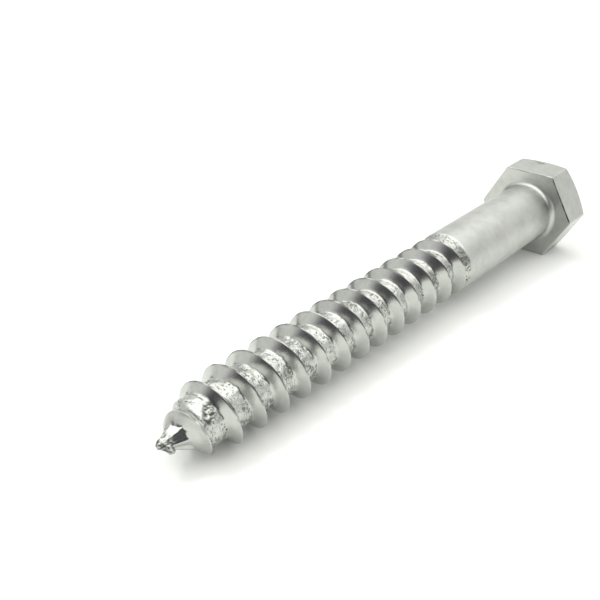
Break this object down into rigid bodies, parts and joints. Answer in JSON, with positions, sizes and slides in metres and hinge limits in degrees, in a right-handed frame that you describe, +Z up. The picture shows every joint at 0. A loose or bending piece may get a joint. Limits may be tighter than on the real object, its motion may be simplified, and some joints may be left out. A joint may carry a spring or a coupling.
{
  "type": "lag screw",
  "caption": "Hex-head lag screw with a smooth body, a coarse wood thread and a gimlet point.",
  "frame": {"origin": "centre of the head's bearing face, on the screw's axis", "axes": "the shank points towards +X, tipped 1.98 degrees down towards its point as it lies at rest; +Z is up from the surface the screw lies on; Y is across the screw, parallel to that surface"},
  "size_m": [0.0822, 0.0162, 0.0142],
  "materials": {
    "zinc_steel": "bright zinc plate over forged and rolled steel, glossy on the thread and satin on the body"
  },
  "bodies": {
    "root": {"lag_screw": "zinc_steel"}
  },
  "joints": []
}
